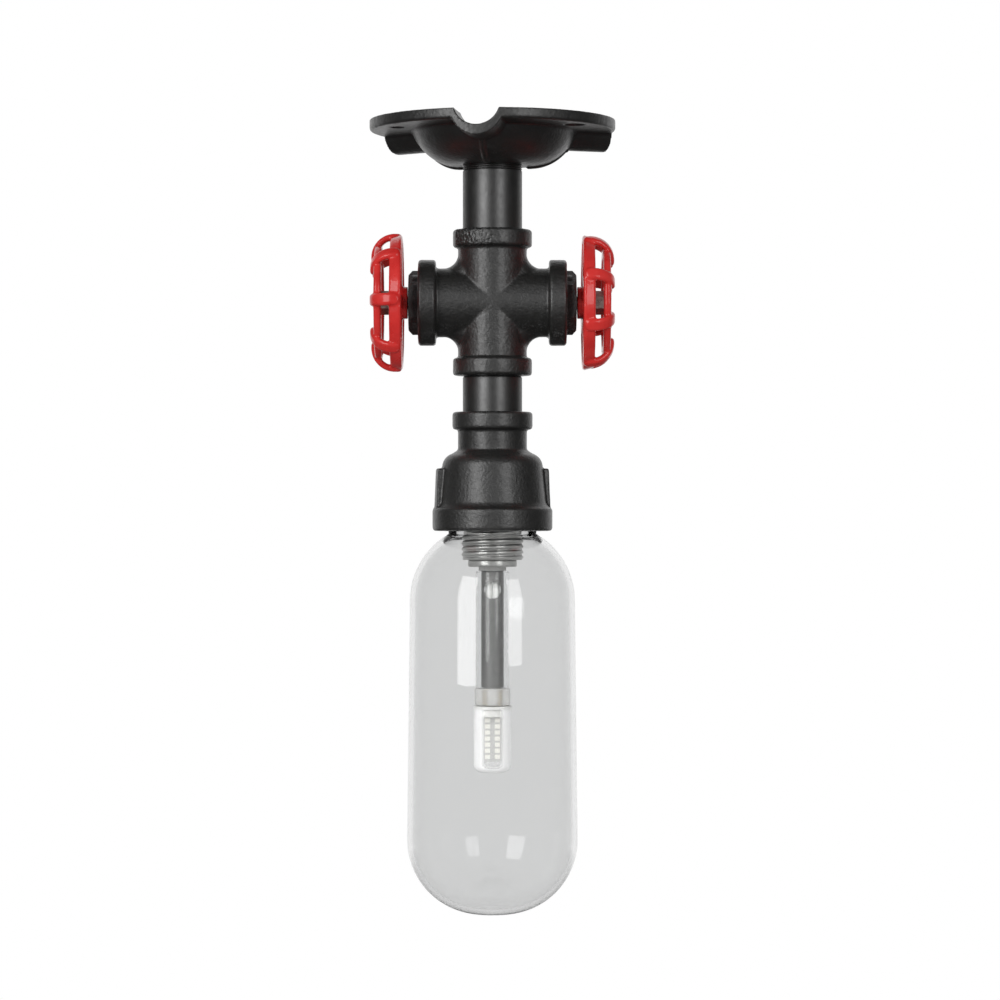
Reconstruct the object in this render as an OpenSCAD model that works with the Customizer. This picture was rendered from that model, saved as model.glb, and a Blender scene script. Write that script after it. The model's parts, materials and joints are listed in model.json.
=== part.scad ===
// Semi-flush ceiling light made of pipe fittings, with two turning handwheels and a
// capsule glass that screws into a bell. +Z is up and the origin is on the ceiling face,
// at the centre of the screw circle, so the whole light hangs below z = 0.

/* [Flange] */
// Radius of the ceiling flange
flange_r = 47.3; // [46:0.1:60]
// Thickness of the flange at its rim
flange_t = 4.2; // [3:0.1:6]
// Depth of the flange from the ceiling face to the face of its hub
flange_depth = 17.3; // [15.5:0.1:24]
// Distance that each of the three lobes is set back from the middle
lobe_offset = 10; // [7:0.1:10.2]
// Radius of the flat bottom of a lobe
lobe_flat_r = 21.4; // [21.3:0.1:22.4]
// Radius of the round side of a lobe
lobe_round_r = 20.2; // [18:0.1:21.4]
// Outer radius of a half-round channel arm
arm_r = 9.9; // [8.8:0.1:10.6]
// Depth of the middle of an arm below the ceiling face
arm_drop = 0.4; // [0.1:0.1:1]
// Radius of the channel in an arm
channel_r = 8.7; // [7:0.1:9.2]
// Height of the middle of that channel above the ceiling face
channel_rise = 2.5; // [1.5:0.1:3.5]
// Wall between the hollow and the outside of the flange
hollow_wall = 4; // [3:0.1:5]
// Depth of the hollow in the ceiling face
hollow_depth = 7; // [5.4:0.1:8]
// Distance of the ceiling screws in from the rim
screw_inset = 8.3; // [6.8:0.1:9.7]
// Radius of a ceiling screw hole
screw_hole_r = 2.3; // [1.6:0.05:2.8]
// Radius of the countersink of a screw hole
screw_sink_r = 4.2; // [3.4:0.05:4.8]

/* [Pipes] */
// Outer radius of both pipes
pipe_r = 11.4; // [11.3:0.05:12]
// Outer radius of their threaded ends
thread_r = 11; // [10.4:0.05:11.15]
// Inner radius of both pipes
pipe_bore_r = 8; // [7:0.1:9]
// Length of thread in the flange
flange_grip = 9.8; // [8:0.1:10]
// Length of thread in the cross and in the bell
pipe_grip = 11.3; // [9:0.1:11.4]
// Length of the upper pipe that shows
upper_show = 24.6; // [15:0.1:90]
// Length of the lower pipe that shows
lower_show = 13.8; // [8:0.1:70]

/* [Cross] */
// Distance from the middle of the cross to its upper and lower ends
run_half = 28.1; // [27.4:0.1:34]
// Distance from the middle of the cross to the ends of its side arms
side_half = 28.6; // [27.6:0.1:34]
// Radius of the four barrels
barrel_r = 13.3; // [13:0.1:14.2]
// Radius of the bands on the upper and lower ends
run_band_r = 15.3; // [14.8:0.1:17]
// Radius of the bands on the side arms
side_band_r = 16.6; // [15.4:0.1:18]
// Length of a band
band_l = 7; // [5:0.1:8]
// Rounding of the edges of a band
band_edge = 1.2; // [0.6:0.1:1.5]
// Radius of the cast corners between the barrels
corner_r = 5.8; // [4:0.1:7]
// Depth of the threaded socket in each end
socket_depth = 12.5; // [12:0.1:13]
// Radius of the waterway inside the cross
waterway_r = 9.6; // [8.6:0.1:10.2]

/* [Plugs and stems] */
// Radius of a plug over the corners of its hexagon
plug_corner_r = 12.35; // [11.8:0.05:13.6]
// Thickness of the hexagon
plug_head_t = 3.6; // [3:0.1:5]
// Radius of the round face that the chamfer leaves on the hexagon
plug_face_r = 10.7; // [9:0.1:11.4]
// Depth of that chamfer
plug_chamfer = 1.6; // [0.8:0.1:2.2]
// Length of thread on a plug
plug_grip = 11; // [9:0.1:11.6]
// Radius of the stem that a wheel turns on
stem_r = 2.5; // [2:0.05:3]
// Thickness of the nuts on the stems
nut_t = 4; // [3:0.1:4.4]
// Radius of those nuts over their corners
nut_corner_r = 4.62; // [4.2:0.02:5.2]
// Length of stem past a nut
stem_over = 0.8; // [0.4:0.1:1.4]
// Thickness of the washer under the outer nut
washer_t = 1; // [0.6:0.1:1.4]
// Radius of that washer
washer_r = 5; // [4.8:0.1:5.8]
// Play of a wheel along its stem
wheel_play = 0.2; // [0.1:0.05:0.4]

/* [Wheels] */
// Radius of a wheel over its ribs
wheel_r = 26.6; // [26.2:0.1:32]
// Depth of a wheel from its outer face to the edge of its skirt
wheel_depth = 12.2; // [12.2:0.1:15]
// Radius of the skirt at its edge
skirt_r = 25.9; // [24.6:0.1:26]
// Radius of the skirt at the windows
skirt_window_r = 25.2; // [24.4:0.1:25.8]
// Thickness of the skirt
skirt_t = 2.3; // [2:0.1:3]
// Distance from the outer face to the skirt, where the windows end
skirt_from = 7.5; // [7:0.1:8]
// Distance from the outer face to the ring
ring_from = 1.5; // [1.2:0.1:1.9]
// Width of the ring along the axis
ring_w = 3; // [2.6:0.1:3.2]
// Outer radius of the ring
ring_r = 21.9; // [20.5:0.1:22.4]
// Inner radius of the ring
ring_bore_r = 16.7; // [15.4:0.1:17.4]
// Number of ribs
rib_count = 8; // [6:2:10]
// Width of a rib
rib_w = 4.9; // [4:0.1:5.1]
// Thickness of a rib
rib_t = 2.6; // [2:0.1:3]
// Outer radius of the bend in a rib
rib_bend_r = 9.2; // [8.6:0.1:9.3]
// Number of spokes
spoke_count = 4; // [3:1:5]
// Width of a spoke
spoke_w = 5; // [4:0.1:6]
// Thickness of a spoke
spoke_t = 2.8; // [2:0.1:3]
// Radius of the wheel hub
hub_r = 6.2; // [5.6:0.1:7]
// Distance from the outer face to the top of the hub
hub_from = 8.9; // [8.6:0.1:9.2]
// Amount by which the hub stands out past the skirt
hub_out = 1.95; // [1:0.05:4]

/* [Bell] */
// Radius of the band at the top of the bell
bell_top_r = 15.45; // [14.8:0.05:17]
// Length of that band
bell_top_l = 6.9; // [5:0.1:8]
// Radius of the neck under that band
bell_neck_r = 13.3; // [13:0.1:14.2]
// Length of the neck
bell_neck_l = 7.7; // [7:0.1:11]
// Length of the shoulder under the neck
shoulder_l = 6.7; // [6.2:0.1:8]
// Radius of the round of the shoulder
shoulder_round_r = 5.5; // [5:0.1:5.9]
// Radius of the body at the shoulder
bell_shoulder_r = 19.4; // [19:0.1:20]
// Length of the body under the shoulder, as far as the lower band
bell_body_l = 15.5; // [14.8:0.1:30]
// Radius of the body just above the lower band
bell_body_r = 20.6; // [20.1:0.1:21.2]
// Radius of the lower band
bell_band_r = 23.1; // [22.7:0.1:25]
// Length of the lower band
bell_band_l = 9; // [8:0.1:11]
// Width of each side rib of the bell
bell_rib_w = 7; // [5:0.1:10]
// Amount by which the side ribs stand out
bell_rib_out = 1.8; // [1:0.1:2]
// Radius of the throat that holds the lamp carrier
throat_r = 9; // [8.8:0.05:9.4]
// Radius of the hollow inside the bell
bell_hollow_r = 15.5; // [15.2:0.1:16]

/* [Glass] */
// Length of glass that hangs below the bell
glass_l = 147.1; // [130:0.1:220]
// Radius of the neck of the glass
glass_neck_r = 16.9; // [16.6:0.1:17.6]
// Length of neck inside the bell
glass_grip = 11.7; // [10:0.1:12]
// Radius of the glass under its shoulder
glass_top_r = 31.75; // [30:0.05:40]
// Distance of the middle of the shoulder's round from the axis
shoulder_centre_r = 2.25; // [2.05:0.05:6]
// Radius of the glass above its round end
glass_low_r = 32.8; // [30:0.1:41]
// Radius of the flat middle of the round end
end_centre_r = 4.4; // [3:0.1:8]
// Wall of the glass
glass_wall = 2; // [1.5:0.1:2.4]
// Thickness of the gasket above the neck
gasket_t = 1.5; // [1:0.1:1.9]
// Inner radius of the gasket
gasket_bore_r = 14.2; // [13:0.1:14.6]

/* [Lamp carrier] */
// Outer radius of the threaded shell
shell_r = 11.9; // [11.4:0.1:12.2]
// Inner radius of the shell
shell_bore_r = 8; // [7.6:0.1:8.4]
// Length of shell that shows below the bell
shell_show = 11.1; // [8:0.1:16]
// Number of thread ridges on the shell
ridge_count = 12; // [8:1:13]
// Depth of the thread ridges
ridge_depth = 0.6; // [0.3:0.05:0.8]
// Thickness of the floor of the shell
shell_floor_t = 4.8; // [3:0.1:6]
// Radius of the ring under the shell
ring_disc_r = 9.4; // [9:0.1:10]
// Thickness of that ring
ring_disc_t = 2.7; // [2:0.1:4]
// Radius of the small nut under the ring, over its corners
stem_nut_r = 5.3; // [5.2:0.05:6]
// Thickness of the small nut
stem_nut_t = 1.5; // [1.2:0.1:2.4]
// Outer radius of the lamp stem
lamp_stem_r = 4.3; // [4:0.05:4.35]
// Inner radius of the lamp stem
stem_bore_r = 3.4; // [3.2:0.05:3.5]
// Length of stem above the floor of the shell
stem_rise = 2; // [1:0.1:4]
// Length of stem below the small nut
lamp_stem_l = 45; // [30:0.1:70]
// Radius of the cross hole in the stem
cross_hole_r = 3.3; // [2.4:0.1:3.4]
// Distance from the small nut to the middle of the cross hole
cross_hole_drop = 7.4; // [5:0.1:12]
// Outer radius of the clear sleeve around the stem
sleeve_r = 6.45; // [6:0.05:6.7]
// Wall of the sleeve
sleeve_wall = 1; // [0.6:0.1:1.2]

/* [Lamp] */
// Radius of the holder
holder_r = 6.9; // [6.8:0.1:7.6]
// Height of the holder
holder_h = 6.6; // [6:0.1:9]
// Height of the holder's spigot, which stands up into the stem
spigot_h = 4.5; // [3:0.1:7]
// Distance between the two pins
pin_pitch = 4; // [3.6:0.1:4.4]
// Radius of a pin
pin_r = 0.35; // [0.3:0.05:0.45]
// Radius of a socket contact
contact_r = 0.9; // [0.8:0.05:1.1]
// Length of pin in the holder
pin_l = 5.2; // [4:0.1:5.4]
// Radius of the lamp
bulb_r = 7.3; // [7:0.1:9]
// Length of the lamp without its pins
bulb_l = 25.6; // [24.6:0.1:36]
// Radius of the round at the end of the lamp
bulb_round_r = 3.2; // [2:0.1:5]
// Wall of the lamp's envelope
bulb_wall = 0.8; // [0.5:0.1:1.1]
// Height of the lamp's base
base_h = 4; // [3:0.1:5]
// Width of the board inside the lamp
board_w = 7.2; // [6.2:0.1:8]
// Length of the board
board_l = 17.5; // [14:0.1:18]
// Thickness of the board
board_t = 1; // [0.8:0.1:1.6]
// Number of rows of chips on each face of the board
chip_rows = 7; // [4:1:8]

/* [Leads] */
// Radius of the two leads
lead_r = 1.3; // [1:0.05:1.35]
// Distance between the middles of the two leads
lead_pitch = 2.8; // [2.75:0.05:3.2]
// Radius of the earth lead
earth_lead_r = 1; // [0.7:0.05:1.2]

/* [Fits] */
// Radial gap between a threaded piece and the fitting that it is screwed into
thread_gap = 0.1; // [0.05:0.01:0.15]
// Radial gap between a wheel and its stem
running_gap = 0.05; // [0.02:0.01:0.1]
// Gap that is left between pieces that move past each other
face_gap = 0.3; // [0.2:0.05:0.5]

/* [Hidden] */

// Facets of a full circle: of most pieces, of small rounds and of large ones
$fn = 64;
small_fn = 24;
large_fn = 128;
// Overrun of every cut past the face that it opens
over = 1;
// Depth to which a solid is sunk into another of the same piece
sink = 0.1;

// Heights of the main pieces, from the ceiling down
cross_top = -flange_depth - upper_show;
cross_z = cross_top - run_half;
cross_bottom = cross_z - run_half;
bell_top = cross_bottom - lower_show;
shoulder_at = bell_top_l + bell_neck_l + shoulder_l;
band_at = shoulder_at + bell_body_l;
bell_l = band_at + bell_band_l;
bell_mouth = bell_top - bell_l;
glass_bottom = bell_mouth - glass_l;

// Flange: three arms a third of a turn apart, with the first one near the front
arm_count = 3;
arm_turn = -97.4;
arm_step = 360 / arm_count;
lobe_turn = arm_turn + arm_step / 2;
lobe_centre_z = lobe_round_r - flange_depth;
flange_edge = 1.2;
screw_circle_r = flange_r - screw_inset;
socket_r = thread_r + thread_gap;
hollow_round_r = lobe_round_r - hollow_wall;
hollow_low_z = lobe_centre_z + hollow_depth;
hollow_top_r = lobe_flat_r + sqrt(hollow_round_r ^ 2 - lobe_centre_z ^ 2);
hollow_floor_r = lobe_flat_r + sqrt(hollow_round_r ^ 2 - hollow_low_z ^ 2);

// Earth screw on the floor of the hollow, behind the pipe, with its ring terminal
earth_turn = lobe_turn + arm_step;
earth_screw_r = 1.9;
earth_head_r = 3.2;
earth_head_t = 2.2;
earth_thread_l = 5;
earth_at = 17.4;
terminal_t = 0.8;
terminal_r = 3.5;
terminal_tail = 6.4;
earth_lead_top = -1;

// Cross: radius of the tubes that make the cast corners
corner_tube_r = 9;
corner_at = barrel_r + corner_r;
corner_bend_r = corner_r + corner_tube_r + sink;

// Plugs, stems and wheels, measured from the middle of the cross along each side arm
plug_face = side_half + plug_head_t;
plug_inner = side_half - plug_grip;
wheel_face = plug_face + face_gap + hub_out + wheel_depth;
hub_face = wheel_face - hub_from;
washer_at = hub_face + wheel_play;
nut_at = washer_at + washer_t;
stem_inner = plug_inner - nut_t - stem_over;
stem_outer = nut_at + nut_t + stem_over;
stem_hole_r = stem_r + thread_gap;
rib_step = 360 / rib_count;
right_turn = rib_step / 2;
rib_line_r = wheel_r - rib_t / 2;
rib_tip_inset = 0.3;
rib_tip_at = wheel_depth - rib_tip_inset - rib_w / 2;
rib_bend_at = wheel_r - rib_bend_r;
rib_bend_line = rib_bend_r - rib_t / 2;
skirt_round = 0.9;
ring_round = 1.2;
round_steps = 5;
spoke_at = wheel_depth - spoke_t - sink;
spoke_l = skirt_window_r - skirt_t / 2;

// Bell, measured down from its top face
shoulder_from = bell_top_l + bell_neck_l;
shoulder_lead_out = 3.05;
shoulder_lead_l = 2;
shoulder_centre = bell_shoulder_r - shoulder_round_r;
band_slope = 1.8;
bell_rib_turn = 10;
bell_rib_from = shoulder_at + 0.4;
bell_rib_draw = 0.6;
bell_socket_l = 11.5;
seat_at = 19.1;
seat_r = 12.6;
hollow_cone_l = 6;
mouth_r = glass_neck_r + face_gap;

// Glass
neck_top = bell_mouth + glass_grip;
gasket_top = neck_top + gasket_t;
gasket_r = glass_neck_r + face_gap / 2;
glass_shoulder_r = glass_top_r - shoulder_centre_r;
neck_show = 1.1;
shoulder_z = bell_mouth - neck_show - neck_rise(0);
glass_end_r = glass_low_r - end_centre_r;
end_z = glass_bottom + glass_end_r;

// Lamp carrier, from the seat in the bell down to the lamp
seat_z = bell_top - seat_at;
collar_top = bell_top - bell_socket_l - face_gap;
collar_r = throat_r - thread_gap;
shell_bottom = bell_mouth - shell_show;
ridge_pitch = (seat_z - shell_bottom) / ridge_count;
ridge_shape = [[0, 1], [0.35, 0], [0.65, 0]];
ring_bottom = shell_bottom - ring_disc_t;
stem_nut_bottom = ring_bottom - stem_nut_t;
lamp_stem_top = shell_bottom + shell_floor_t + stem_rise;
lamp_stem_hole_r = lamp_stem_r + thread_gap;
holder_top = stem_nut_bottom - lamp_stem_l;
lamp_stem_bottom = holder_top + face_gap;
ring_edge = 0.6;

// Holder and lamp
holder_bottom = holder_top - holder_h;
holder_edge = 0.7;
spigot_top = holder_top + spigot_h;
spigot_r = stem_bore_r - thread_gap;
contact_inset = 0.3;
contact_top = holder_bottom + contact_inset + 5.7;
bulb_top = holder_bottom - face_gap;
bulb_bottom = bulb_top - bulb_l;
base_rim_t = 1.2;
envelope_top = bulb_top - base_rim_t;
base_bottom = bulb_top - base_h;
chip_w = 2;
chip_h = 1.6;
chip_t = 0.5;
chip_side = 1.9;
lead_top = -1.5;
lead_bottom = spigot_top + face_gap;

// Height of the glass shoulder's arc over its centre, where the neck starts
function neck_rise(inset) = sqrt((glass_shoulder_r - inset) ^ 2
                                 - (glass_neck_r - inset - shoulder_centre_r) ^ 2);

// Points on an arc about a centre, from one angle to another
function arc(centre, r, from, to) =
    [for (i = [0:round_steps]) let (a = from + (to - from) * i / round_steps)
        centre + r * [cos(a), sin(a)]];

// Solid band from the axis out to a radius, with rounded outer edges
module band(r, low, high, edge) {
    rotate_extrude()
        polygon(concat([[0, low]],
                       arc([r - edge, low + edge], edge, -90, 0),
                       arc([r - edge, high - edge], edge, 0, 90),
                       [[0, high]]));
}

// Upright tube between two heights
module tube(r_out, r_in, low, high) {
    difference() {
        translate([0, 0, low]) cylinder(r = r_out, h = high - low);
        translate([0, 0, low - over]) cylinder(r = r_in, h = high - low + 2 * over);
    }
}

// Hexagon nut with a hole, standing on z = 0
module hex_nut(corner_r, hole_r, height) {
    difference() {
        cylinder(r = corner_r, h = height, $fn = 6);
        translate([0, 0, -over]) cylinder(r = hole_r, h = height + 2 * over);
    }
}

// Places a piece that is built along +Z onto a side arm, left for -1 and right for 1
module on_side(side) {
    translate([0, 0, cross_z]) rotate([0, side * 90, 0]) children();
}

// Lobe of the flange: a flat bottom that rises in a round side
module flange_lobe() {
    intersection() {
        rotate_extrude() {
            translate([lobe_flat_r, lobe_centre_z]) circle(r = lobe_round_r, $fn = large_fn);
            translate([0, -flange_depth]) square([lobe_flat_r, flange_depth]);
        }
        translate([0, 0, -flange_depth]) cylinder(r = 2 * flange_r, h = flange_depth);
    }
}

// Part of the hollow that follows one lobe
module lobe_hollow() {
    translate([0, 0, -hollow_depth])
        cylinder(r1 = hollow_floor_r, r2 = hollow_top_r, h = hollow_depth);
}

// What three set-back shapes have in common, one for each lobe
module in_three_lobes() {
    intersection_for(i = [0:arm_count - 1])
        rotate(lobe_turn + i * arm_step) translate([-lobe_offset, 0, 0]) children();
}

// Cast ceiling flange. Its bowl has three ridges, and each ridge runs out into a
// half-round arm with a channel above it that is open to the ceiling and to the rim
module ceiling_flange() {
    color("#26261f")
    difference() {
        union() {
            rotate_extrude()
                polygon(concat([[0, -flange_t]],
                               arc([flange_r - flange_edge, flange_edge - flange_t],
                                   flange_edge, -90, 0),
                               [[flange_r, 0], [0, 0]]));
            in_three_lobes() flange_lobe();
            intersection() {
                translate([0, 0, -flange_depth]) cylinder(r = flange_r, h = flange_depth);
                for (i = [0:arm_count - 1])
                    rotate(arm_turn + i * arm_step) translate([0, 0, -arm_drop])
                        rotate([0, 90, 0]) cylinder(r = arm_r, h = flange_r + over);
            }
        }
        in_three_lobes() lobe_hollow();
        translate([0, 0, -flange_depth - over])
            cylinder(r = socket_r, h = flange_depth + over);
        for (i = [0:arm_count - 1]) {
            rotate(arm_turn + i * arm_step) translate([0, 0, channel_rise])
                rotate([0, 90, 0]) cylinder(r = channel_r, h = flange_r + over);
            rotate(lobe_turn + i * arm_step) translate([screw_circle_r, 0, -flange_t]) {
                translate([0, 0, -over]) cylinder(r = screw_hole_r, h = flange_t + 2 * over);
                cylinder(r1 = screw_sink_r, r2 = screw_hole_r, h = screw_sink_r - screw_hole_r);
            }
        }
        rotate(earth_turn) translate([earth_at, 0, -hollow_depth - earth_thread_l])
            cylinder(r = earth_screw_r + thread_gap, h = earth_thread_l + over);
    }
}

// Screw that holds the ring terminal of the earth lead
module earth_screw() {
    color("#b7a25a")
    rotate(earth_turn) translate([earth_at, 0, -hollow_depth]) {
        translate([0, 0, terminal_t]) cylinder(r = earth_head_r, h = earth_head_t);
        translate([0, 0, face_gap - earth_thread_l])
            cylinder(r = earth_screw_r, h = earth_thread_l + terminal_t);
    }
}

// Earth lead with its ring terminal, which rises to the ceiling beside the screw
module earth_lead() {
    color("#7d9a2c")
    rotate(earth_turn) translate([earth_at, 0, -hollow_depth])
    difference() {
        union() {
            cylinder(r = terminal_r, h = terminal_t);
            translate([-earth_lead_r, 0, 0])
                cube([2 * earth_lead_r, terminal_tail, terminal_t]);
            translate([0, terminal_tail, 0])
                cylinder(r = earth_lead_r, h = hollow_depth + earth_lead_top);
        }
        translate([0, 0, -over])
            cylinder(r = earth_screw_r + thread_gap, h = terminal_t + 2 * over);
    }
}

// Short pipe with a threaded end above and below the part that shows
module short_pipe(low, high, low_grip, high_grip) {
    difference() {
        union() {
            translate([0, 0, low]) cylinder(r = pipe_r, h = high - low);
            translate([0, 0, low - low_grip])
                cylinder(r = thread_r, h = high - low + low_grip + high_grip);
        }
        translate([0, 0, low - low_grip - over])
            cylinder(r = pipe_bore_r, h = high - low + low_grip + high_grip + 2 * over);
    }
}

module upper_pipe() {
    color("#1f1f1c") short_pipe(cross_top, -flange_depth, pipe_grip, flange_grip);
}

module lower_pipe() {
    color("#1f1f1c") short_pipe(bell_top, cross_bottom, pipe_grip, pipe_grip);
}

// One straight run of the cross along Z, with a band at each end
module cross_run(half, band_r) {
    translate([0, 0, band_edge - half]) cylinder(r = barrel_r, h = 2 * (half - band_edge));
    band(band_r, half - band_l, half, band_edge);
    band(band_r, -half, band_l - half, band_edge);
}

// Threaded sockets in both ends of a run along Z
module run_sockets(half) {
    for (end = [-1, 1])
        translate([0, 0, end * (half + (over - socket_depth) / 2)])
            cylinder(r = socket_r, h = socket_depth + over, center = true);
}

// Cast cross with a rounded corner between each pair of barrels
module cross_fitting() {
    color("#262622")
    translate([0, 0, cross_z])
    difference() {
        union() {
            cross_run(run_half, run_band_r);
            rotate([0, 90, 0]) cross_run(side_half, side_band_r);
            for (k = [0:3])
                rotate([0, k * 90, 0])
                    translate([corner_at, 0, corner_at])
                    rotate([-90, 0, 0]) rotate(90)
                    rotate_extrude(angle = 90)
                        translate([corner_bend_r, 0]) circle(r = corner_tube_r);
        }
        translate([0, 0, -run_half]) cylinder(r = waterway_r, h = 2 * run_half);
        translate([-side_half, 0, 0]) rotate([0, 90, 0])
            cylinder(r = waterway_r, h = 2 * side_half);
        run_sockets(run_half);
        rotate([0, 90, 0]) run_sockets(side_half);
    }
}

// Plug of a side arm: hexagon with a chamfered face on a threaded part
module arm_plug() {
    difference() {
        union() {
            intersection() {
                translate([0, 0, side_half])
                    cylinder(r = plug_corner_r, h = plug_head_t, $fn = 6);
                rotate_extrude()
                    polygon([[0, side_half],
                             [plug_corner_r + sink, side_half],
                             [plug_corner_r + sink, plug_face - plug_chamfer],
                             [plug_face_r, plug_face],
                             [0, plug_face]]);
            }
            translate([0, 0, plug_inner])
                cylinder(r = thread_r, h = plug_grip + plug_head_t - plug_chamfer);
        }
        translate([0, 0, plug_inner - over])
            cylinder(r = stem_hole_r, h = plug_grip + plug_head_t + 2 * over);
    }
}

module left_plug() {
    color("#1b1b19") on_side(-1) arm_plug();
}

module right_plug() {
    color("#1b1b19") on_side(1) arm_plug();
}

// Stem that a wheel turns on
module wheel_stem() {
    translate([0, 0, stem_inner]) cylinder(r = stem_r, h = stem_outer - stem_inner);
}

module left_stem() {
    color("#9a938a") on_side(-1) wheel_stem();
}

module right_stem() {
    color("#9a938a") on_side(1) wheel_stem();
}

// Nuts inside the cross that hold the stems in the plugs
module stem_lock_nuts() {
    color("#9a938a")
    for (side = [-1, 1])
        on_side(side) translate([0, 0, plug_inner - nut_t])
            hex_nut(nut_corner_r, stem_hole_r, nut_t);
}

// Washers between the wheel hubs and their nuts
module wheel_washers() {
    color("#b4b0a8")
    for (side = [-1, 1])
        on_side(side) tube(washer_r, stem_hole_r, washer_at, nut_at);
}

// Nuts at the outer ends of the stems, in the hollow of each wheel
module wheel_nuts() {
    color("#8f8373")
    for (side = [-1, 1])
        on_side(side) translate([0, 0, nut_at]) hex_nut(nut_corner_r, stem_hole_r, nut_t);
}

// Cross-section of a rib, with round sides
module rib_section() {
    square([rib_t, rib_w - rib_t], center = true);
    for (side = [-1, 1])
        translate([0, side * (rib_w - rib_t) / 2]) circle(r = rib_t / 2, $fn = small_fn);
}

// Half of the rounded tip in which a rib ends
module rib_tip() {
    rotate_extrude(angle = 180) {
        translate([0, -rib_t / 2]) square([(rib_w - rib_t) / 2, rib_t]);
        intersection() {
            translate([(rib_w - rib_t) / 2, 0]) circle(r = rib_t / 2, $fn = small_fn);
            translate([0, -rib_t]) square([rib_w, 2 * rib_t]);
        }
    }
}

// One rib: from its tip on the skirt along the wheel, round the bend and to its inner tip.
// Here z runs from the outer face of the wheel towards the cross
module wheel_rib() {
    translate([rib_line_r, 0, rib_bend_r])
        linear_extrude(height = rib_tip_at - rib_bend_r) rib_section();
    translate([rib_bend_at, 0, rib_bend_r]) rotate([-90, 0, 0])
        rotate_extrude(angle = 90) translate([rib_bend_line, 0]) rib_section();
    translate([rib_bend_at, 0, rib_t / 2]) rotate(90) rib_tip();
    translate([rib_line_r, 0, rib_tip_at]) rotate([90, 0, 90]) rib_tip();
}

// Handwheel about z, from its outer face at z = 0: a skirt and a ring joined by curved ribs
// with windows between them, and a hub carried by spokes inside the skirt
module handwheel() {
    ring_low = ring_from + ring_round;
    ring_high = ring_from + ring_w - ring_round;
    skirt_low = skirt_from + skirt_round;
    skirt_high = wheel_depth - skirt_round;
    difference() {
        union() {
            rotate_extrude()
                polygon(concat(
                    arc([skirt_window_r - skirt_round, skirt_low], skirt_round, -90, 0),
                    arc([skirt_r - skirt_round, skirt_high], skirt_round, 0, 90),
                    arc([skirt_r - skirt_t + skirt_round, skirt_high], skirt_round, 90, 180),
                    arc([skirt_window_r - skirt_t + skirt_round, skirt_low], skirt_round,
                        180, 270)));
            rotate_extrude()
                polygon(concat(
                    arc([ring_r - ring_round, ring_low], ring_round, -90, 0),
                    arc([ring_r - ring_round, ring_high], ring_round, 0, 90),
                    arc([ring_bore_r + ring_round, ring_high], ring_round, 90, 180),
                    arc([ring_bore_r + ring_round, ring_low], ring_round, 180, 270)));
            for (i = [0:rib_count - 1]) rotate(i * rib_step) wheel_rib();
            translate([0, 0, hub_from])
                cylinder(r = hub_r, h = wheel_depth + hub_out - hub_from);
            for (i = [0:spoke_count - 1])
                rotate(i * 360 / spoke_count) translate([0, -spoke_w / 2, spoke_at])
                    cube([spoke_l, spoke_w, spoke_t]);
        }
        translate([0, 0, hub_from - over])
            cylinder(r = stem_r + running_gap, h = wheel_depth + hub_out - hub_from + 2 * over);
    }
}

module left_wheel() {
    color("#c8201f")
        on_side(-1) translate([0, 0, wheel_face]) rotate([180, 0, 0]) handwheel();
}

module right_wheel() {
    color("#c8201f")
        on_side(1) translate([0, 0, wheel_face]) rotate([180, 0, 0]) rotate(right_turn)
            handwheel();
}

// Bell: banded neck, round shoulder, body with two side ribs, and a wide band at the mouth
module reducer_bell() {
    rib_r = bell_body_r + bell_rib_out;
    rib_l = band_at - bell_rib_from;
    color("#262622")
    translate([0, 0, bell_top])
    difference() {
        union() {
            band(bell_top_r, -bell_top_l, 0, band_edge);
            translate([0, 0, -shoulder_at])
                cylinder(r = bell_neck_r, h = shoulder_at - band_edge);
            rotate_extrude()
                polygon([[0, -band_at - band_edge],
                         [bell_band_r - band_edge, -band_at - band_edge],
                         [bell_band_r - band_edge, -band_at],
                         [bell_body_r, band_slope - band_at],
                         [bell_shoulder_r, -shoulder_at],
                         [bell_neck_r + shoulder_lead_out, -shoulder_from - shoulder_lead_l],
                         [bell_neck_r, -shoulder_from],
                         [0, -shoulder_from]]);
            rotate_extrude()
                translate([shoulder_centre, -shoulder_at])
                circle(r = shoulder_round_r);
            band(bell_band_r, -bell_l, -band_at, band_edge);
            rotate(bell_rib_turn) intersection() {
                translate([-rib_r, -bell_rib_w / 2, -band_at])
                    cube([2 * rib_r, bell_rib_w, rib_l]);
                translate([0, 0, -band_at])
                    cylinder(r1 = rib_r, r2 = rib_r - bell_rib_draw, h = rib_l);
            }
        }
        translate([0, 0, -bell_socket_l]) cylinder(r = socket_r, h = bell_socket_l + over);
        translate([0, 0, -seat_at - over]) cylinder(r = throat_r, h = seat_at);
        rotate_extrude()
            polygon([[0, -seat_at],
                     [seat_r, -seat_at],
                     [bell_hollow_r, -seat_at - hollow_cone_l],
                     [bell_hollow_r, gasket_top - bell_top],
                     [mouth_r, gasket_top - bell_top],
                     [mouth_r, -bell_l - over],
                     [0, -bell_l - over]]);
    }
}

// Gasket between the top of the glass neck and the step in the bell
module shade_gasket() {
    color("#3a3a38") tube(gasket_r, gasket_bore_r, neck_top, gasket_top);
}

// Block of an outline from the axis out to a radius, between two heights
module outline_block(r, low, high) {
    polygon([[0, low], [r, low], [r, high], [0, high]]);
}

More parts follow.
